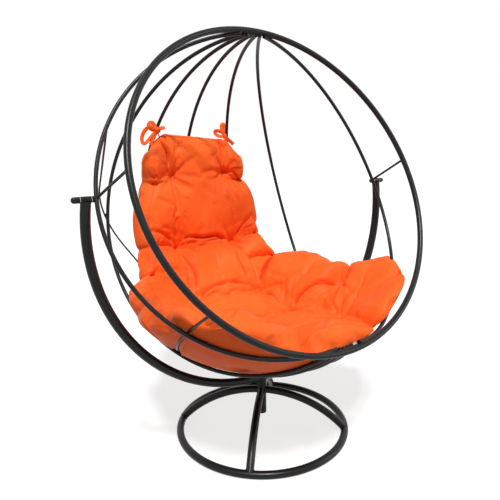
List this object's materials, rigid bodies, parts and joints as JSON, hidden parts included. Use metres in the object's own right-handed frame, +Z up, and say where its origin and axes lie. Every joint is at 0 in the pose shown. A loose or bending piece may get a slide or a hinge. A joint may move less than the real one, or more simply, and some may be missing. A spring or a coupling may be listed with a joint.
{
  "type": "swivel chair",
  "caption": "Round bowl armchair of open metal ribs with one tufted cushion tied in, carried at its sides in a tall bent arc that turns on a ring base",
  "frame": {"origin": "On the floor under the middle of the foot ring, on the swivel axis.", "axes": "+Z up, along the swivel axis. The seat opens towards -Y at rest, so +Y is the chair's back. +X is on the sitter's left."},
  "size_m": [1.1838, 0.9581, 1.3322],
  "materials": {
    "black_metal": "satin",
    "orange_fabric": "satin",
    "black_plastic": "matte",
    "bright_steel": "satin"
  },
  "bodies": {
    "base": {"base_ring": "black_metal", "leg_rear_right": "black_metal", "leg_rear_left": "black_metal", "leg_front_left": "black_metal", "leg_front_right": "black_metal", "hub_sleeve": "black_metal", "hub_cap": "black_plastic", "bush_upper": "black_plastic", "bush_lower": "black_plastic"},
    "stand": {"stand_arc": "black_metal", "spindle": "black_metal", "thrust_washer": "bright_steel", "retaining_clip": "bright_steel", "pivot_sleeve_left": "black_metal", "pivot_sleeve_right": "black_metal", "pivot_bush_left": "black_plastic", "pivot_bush_right": "black_plastic"},
    "bowl": {"front_ring": "black_metal", "rib_side_left": "black_metal", "rib_far_left": "black_metal", "rib_near_left": "black_metal", "rib_middle": "black_metal", "rib_near_right": "black_metal", "rib_far_right": "black_metal", "rib_side_right": "black_metal", "strut_left": "black_metal", "strut_right": "black_metal", "rib_boss_left": "black_metal", "rib_boss_right": "black_metal", "pivot_bolts": "black_metal", "pivot_washers": "black_plastic", "lower_hoop": "black_metal", "back_brace": "black_metal", "cushion": "orange_fabric", "tie_left": "orange_fabric", "tie_right": "orange_fabric"}
  },
  "joints": [
    {"name": "swivel", "type": "hinge", "parent": "base", "child": "stand", "pos_m": [0, 0, 0.15], "axis": [0, 0, 1], "continuous": true},
    {"name": "tilt", "type": "hinge", "parent": "stand", "child": "bowl", "pos_m": [0, 0, 0.843], "axis": [1, 0, 0], "range_deg": [-20, 12]}
  ]
}
